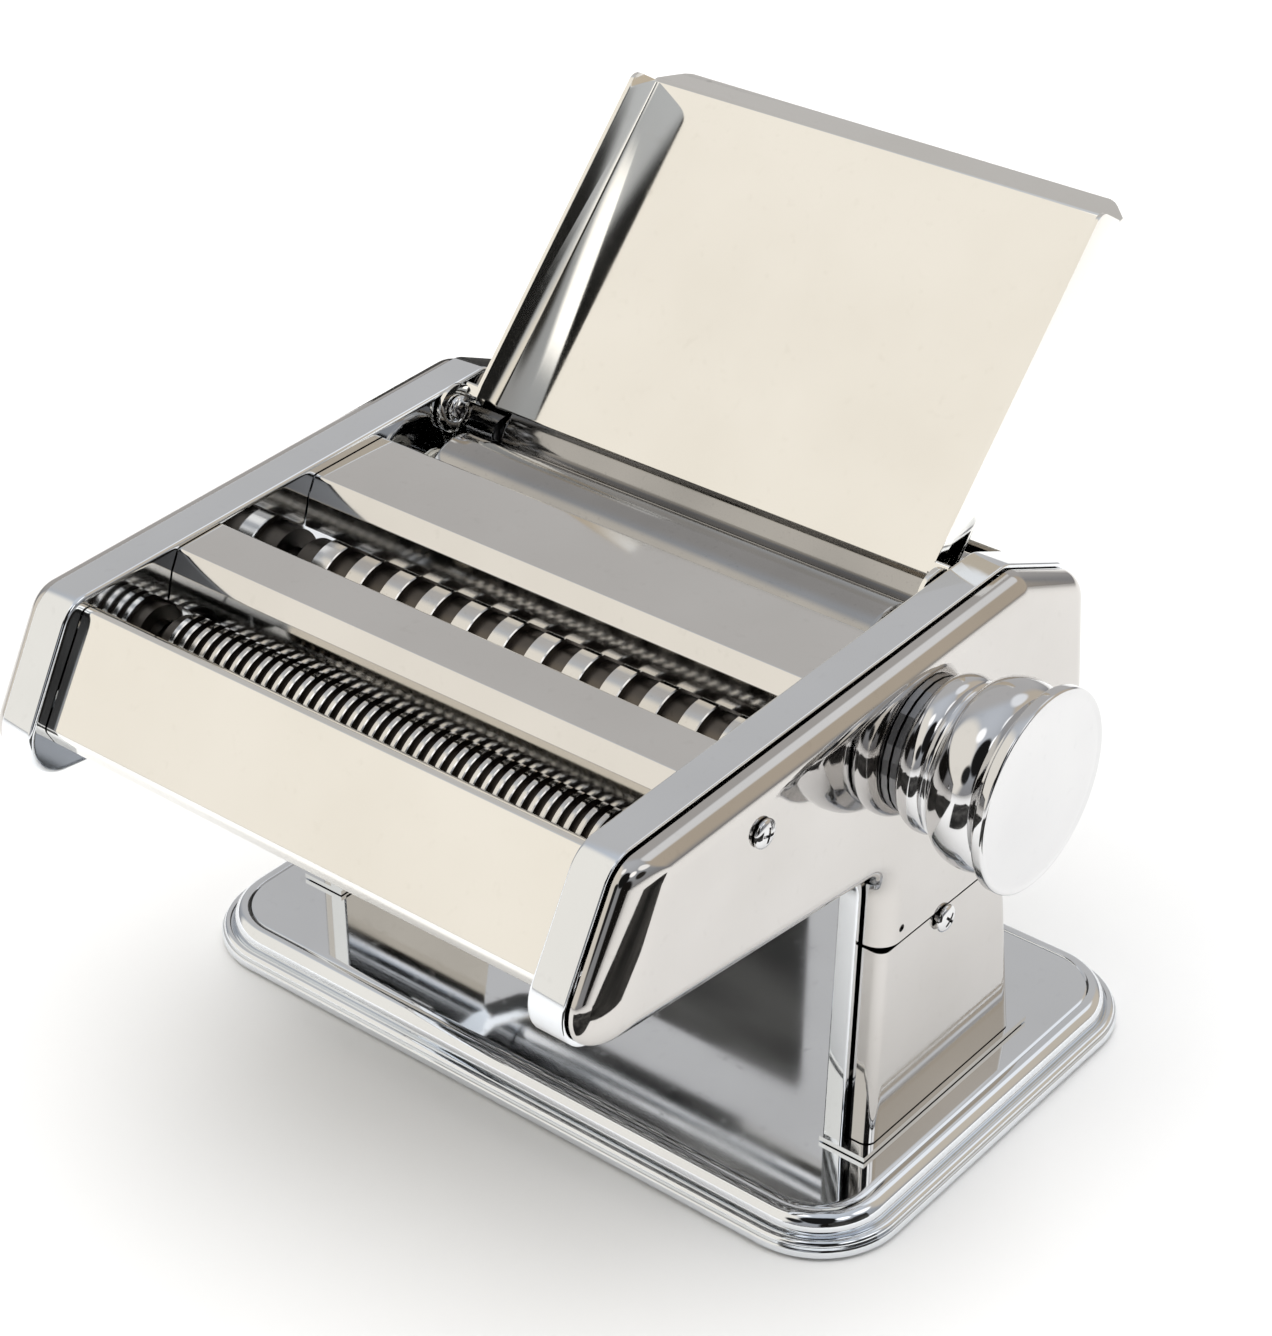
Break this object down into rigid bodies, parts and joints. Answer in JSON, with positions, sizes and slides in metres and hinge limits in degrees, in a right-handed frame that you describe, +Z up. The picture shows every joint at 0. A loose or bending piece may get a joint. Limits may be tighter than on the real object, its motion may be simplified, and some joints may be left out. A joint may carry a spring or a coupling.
{
  "type": "pasta roller machine",
  "caption": "Hand-cranked pasta roller on a pressed base: smooth rollers with a thickness knob, wide and narrow cutters in a sloping head, and a tipping feed plate.",
  "frame": {"origin": "middle of the footprint's bounding box, at the level of the table", "axes": "+X along the rollers towards the thickness knob, -Y towards the front where the cutters are, +Z up"},
  "size_m": [0.2134, 0.2134, 0.1969],
  "materials": {
    "chrome": "mirror polished",
    "warm_steel": "bright polished",
    "roller_steel": "fine turned",
    "gear_steel": "satin",
    "nylon": "matte",
    "rubber": "matte"
  },
  "bodies": {
    "frame": {"base_plate": "chrome", "rubber_foot_front_left": "rubber", "rubber_foot_front_right": "rubber", "rubber_foot_rear_left": "rubber", "rubber_foot_rear_right": "rubber", "side_frame_left": "chrome", "side_frame_right": "chrome", "head_cover_left": "chrome", "head_cover_right": "chrome", "leg_cover_left": "chrome", "leg_cover_right": "chrome", "cover_face_screw_left": "chrome", "cover_face_screw_right": "chrome", "cover_seam_screw_left": "chrome", "cover_seam_screw_right": "chrome", "feed_plate_screw_left": "chrome", "feed_plate_screw_right": "chrome", "roller_bush_left": "nylon", "roller_bush_right": "nylon", "wide_bearing_plate_left": "nylon", "wide_bearing_plate_right": "nylon", "narrow_bearing_plate_left": "nylon", "narrow_bearing_plate_right": "nylon", "wide_comb_front": "warm_steel", "wide_comb_rear": "warm_steel", "narrow_comb_front": "warm_steel", "narrow_comb_rear": "warm_steel", "index_ring": "gear_steel", "front_panel": "warm_steel", "rear_guard": "chrome", "front_roof": "warm_steel", "rear_roof": "warm_steel", "front_scraper": "warm_steel", "rear_scraper": "warm_steel", "front_tie_rod": "chrome", "rear_tie_rod": "chrome"},
    "gap_carriage": {"slide_plate_left": "gear_steel", "slide_plate_right": "gear_steel"},
    "front_roller_set": {"front_roller": "roller_steel", "smooth_gear_front": "gear_steel", "smooth_crank_socket": "gear_steel"},
    "rear_roller_set": {"rear_roller": "roller_steel", "smooth_gear_rear": "gear_steel"},
    "wide_front_set": {"wide_cutter_front": "roller_steel", "wide_gear_front": "gear_steel", "wide_crank_socket": "gear_steel"},
    "wide_rear_set": {"wide_cutter_rear": "roller_steel", "wide_gear_rear": "gear_steel"},
    "narrow_front_set": {"narrow_cutter_front": "roller_steel", "narrow_gear_front": "gear_steel", "narrow_crank_socket": "gear_steel"},
    "narrow_rear_set": {"narrow_cutter_rear": "roller_steel", "narrow_gear_rear": "gear_steel"},
    "adjuster": {"adjuster_shaft": "gear_steel", "knob_spring": "gear_steel"},
    "knob": {"knob_body": "chrome", "knob_cap": "chrome", "index_pin": "gear_steel"},
    "feed_tray": {"feed_plate": "warm_steel"}
  },
  "joints": [
    {"name": "knob_turn", "type": "hinge", "parent": "frame", "child": "adjuster", "pos_m": [0, 0.0059, 0.1113], "axis": [1, 0, 0], "range_deg": [0, 160]},
    {"name": "knob_pull", "type": "slide", "parent": "adjuster", "child": "knob", "axis": [1, 0, 0], "range_m": [0, 0.004], "stiffness_N_per_m": 800, "springref_m": -0.004},
    {"name": "gap_slide", "type": "slide", "parent": "frame", "child": "gap_carriage", "axis": [0, -1, 0], "range_m": [0, 0.002]},
    {"name": "front_roller_turn", "type": "hinge", "parent": "frame", "child": "front_roller_set", "pos_m": [0, 0.0223, 0.1162], "axis": [1, 0, 0], "continuous": true},
    {"name": "rear_roller_turn", "type": "hinge", "parent": "gap_carriage", "child": "rear_roller_set", "pos_m": [0, 0.0498, 0.1162], "axis": [1, 0, 0], "continuous": true},
    {"name": "wide_front_turn", "type": "hinge", "parent": "frame", "child": "wide_front_set", "pos_m": [0, -0.0426, 0.11], "axis": [1, 0, 0], "continuous": true},
    {"name": "wide_rear_turn", "type": "hinge", "parent": "frame", "child": "wide_rear_set", "pos_m": [0, -0.0226, 0.11], "axis": [1, 0, 0], "continuous": true},
    {"name": "narrow_front_turn", "type": "hinge", "parent": "frame", "child": "narrow_front_set", "pos_m": [0, -0.0821, 0.11], "axis": [1, 0, 0], "continuous": true},
    {"name": "narrow_rear_turn", "type": "hinge", "parent": "frame", "child": "narrow_rear_set", "pos_m": [0, -0.0647, 0.11], "axis": [1, 0, 0], "continuous": true},
    {"name": "feed_plate_tip", "type": "hinge", "parent": "frame", "child": "feed_tray", "pos_m": [0, 0.0292, 0.1313], "axis": [1, 0, 0], "range_deg": [0, 60]}
  ],
  "couplings": [
    {"joint": "knob_turn", "follows": "gap_slide", "rad_per_m": 1396.3},
    {"joint": "rear_roller_turn", "follows": "front_roller_turn", "ratio": -1},
    {"joint": "wide_rear_turn", "follows": "wide_front_turn", "ratio": -1},
    {"joint": "narrow_rear_turn", "follows": "narrow_front_turn", "ratio": -1}
  ]
}
